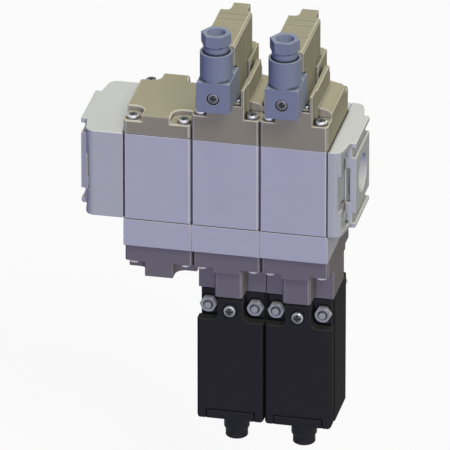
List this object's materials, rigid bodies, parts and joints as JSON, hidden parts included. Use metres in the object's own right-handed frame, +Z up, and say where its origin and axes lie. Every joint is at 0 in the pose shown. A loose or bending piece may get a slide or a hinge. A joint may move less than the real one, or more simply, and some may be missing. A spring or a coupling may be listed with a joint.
{
  "type": "pneumatic solenoid valve",
  "caption": "Modular pneumatic relief valve row: pilot operated valve modules with position switches and a soft start module between flanged end blocks.",
  "frame": {"origin": "centre of the outlet port's mouth, in the outlet flange's face", "axes": "+X along the row from outlet to inlet, +Y to the back, +Z up to the pilot valves"},
  "size_m": [0.1293, 0.0696, 0.222],
  "materials": {
    "end_block": "die cast aluminium with a pale baked coat, satin",
    "body": "die cast aluminium, blue grey satin coat",
    "top_cover": "die cast cover, warm khaki satin paint",
    "bottom_cover": "die cast cover, dark violet grey satin paint",
    "bracket": "die cast bracket, dark violet grey satin paint",
    "pilot": "moulded glass filled resin, warm khaki, matt",
    "plug": "moulded nylon, blue grey, fine satin texture",
    "switch": "moulded glass filled nylon, near black",
    "connector": "moulded black plug end",
    "screw": "bright zinc plated steel",
    "fastener": "zinc plated steel",
    "rubber": "black nitrile rubber",
    "spring": "spring steel wire",
    "spool": "ground stainless steel",
    "piston": "moulded acetal, dark grey",
    "brass": "turned brass",
    "button": "orange moulded button"
  },
  "bodies": {
    "row": {"outlet_end_block": "end_block", "inlet_end_block": "end_block", "soft_start_body": "body", "valve_body_a": "body", "valve_body_b": "body", "soft_start_top_cover": "top_cover", "pilot_base_a": "top_cover", "pilot_base_b": "top_cover", "soft_start_bottom_cover": "bottom_cover", "bottom_cover_a": "bottom_cover", "bottom_cover_b": "bottom_cover", "switch_bracket_a": "bracket", "switch_bracket_b": "bracket", "coil_housing_a": "pilot", "coil_housing_b": "pilot", "pilot_block_a": "pilot", "pilot_block_b": "pilot", "cable_plug_a": "plug", "cable_plug_b": "plug", "gland_nut_a": "plug", "gland_nut_b": "plug", "switch_housing_a": "switch", "switch_housing_b": "switch", "switch_front_a": "switch", "switch_front_b": "switch", "switch_connector_a": "connector", "switch_connector_b": "connector", "cover_screws": "screw", "base_screws": "screw", "pilot_screws": "screw", "plug_screws": "screw", "switch_front_screws": "screw", "tie_screws": "fastener", "bracket_screws": "fastener", "switch_bolts": "fastener", "switch_nuts": "fastener", "port_seals": "rubber", "plug_gaskets": "rubber", "gland_seal_a": "rubber", "gland_seal_b": "rubber", "soft_start_spring": "spring", "armature_spring_a": "spring", "armature_spring_b": "spring", "return_spring_a": "spring", "return_spring_b": "spring", "plunger_spring_a": "spring", "plunger_spring_b": "spring"},
    "spool_a": {"main_spool_a": "spool", "pilot_piston_a": "piston"},
    "spool_b": {"main_spool_b": "spool", "pilot_piston_b": "piston"},
    "plunger_a": {"switch_plunger_a": "spool"},
    "plunger_b": {"switch_plunger_b": "spool"},
    "armature_a": {"armature_a": "spool"},
    "armature_b": {"armature_b": "spool"},
    "override_a": {"manual_override_a": "button"},
    "override_b": {"manual_override_b": "button"},
    "soft_start_poppet": {"soft_start_piston": "brass"}
  },
  "joints": [
    {"name": "spool_a_slide", "type": "slide", "parent": "row", "child": "spool_a", "axis": [0, 0, -1], "range_m": [0, 0.004], "stiffness_N_per_m": 2000, "springref_m": -0.004, "deforming": ["return_spring_a"]},
    {"name": "plunger_a_slide", "type": "slide", "parent": "row", "child": "plunger_a", "axis": [0, 0, -1], "range_m": [0, 0.004], "stiffness_N_per_m": 200, "springref_m": -0.004, "deforming": ["plunger_spring_a"]},
    {"name": "armature_a_slide", "type": "slide", "parent": "row", "child": "armature_a", "axis": [0, 0, 1], "range_m": [0, 0.0008], "stiffness_N_per_m": 500, "springref_m": -0.002, "deforming": ["armature_spring_a"]},
    {"name": "override_a_push", "type": "slide", "parent": "row", "child": "override_a", "axis": [0, -1, 0], "range_m": [0, 0.0012], "stiffness_N_per_m": 800, "springref_m": -0.001},
    {"name": "spool_b_slide", "type": "slide", "parent": "row", "child": "spool_b", "axis": [0, 0, -1], "range_m": [0, 0.004], "stiffness_N_per_m": 2000, "springref_m": -0.004, "deforming": ["return_spring_b"]},
    {"name": "plunger_b_slide", "type": "slide", "parent": "row", "child": "plunger_b", "axis": [0, 0, -1], "range_m": [0, 0.004], "stiffness_N_per_m": 200, "springref_m": -0.004, "deforming": ["plunger_spring_b"]},
    {"name": "armature_b_slide", "type": "slide", "parent": "row", "child": "armature_b", "axis": [0, 0, 1], "range_m": [0, 0.0008], "stiffness_N_per_m": 500, "springref_m": -0.002, "deforming": ["armature_spring_b"]},
    {"name": "override_b_push", "type": "slide", "parent": "row", "child": "override_b", "axis": [0, -1, 0], "range_m": [0, 0.0012], "stiffness_N_per_m": 800, "springref_m": -0.001},
    {"name": "soft_start_lift", "type": "slide", "parent": "row", "child": "soft_start_poppet", "axis": [0, 0, 1], "range_m": [0, 0.0045], "stiffness_N_per_m": 800, "springref_m": -0.004, "deforming": ["soft_start_spring"]}
  ],
  "couplings": [
    {"joint": "plunger_a_slide", "follows": "spool_a_slide", "ratio": 1},
    {"joint": "plunger_b_slide", "follows": "spool_b_slide", "ratio": 1}
  ]
}
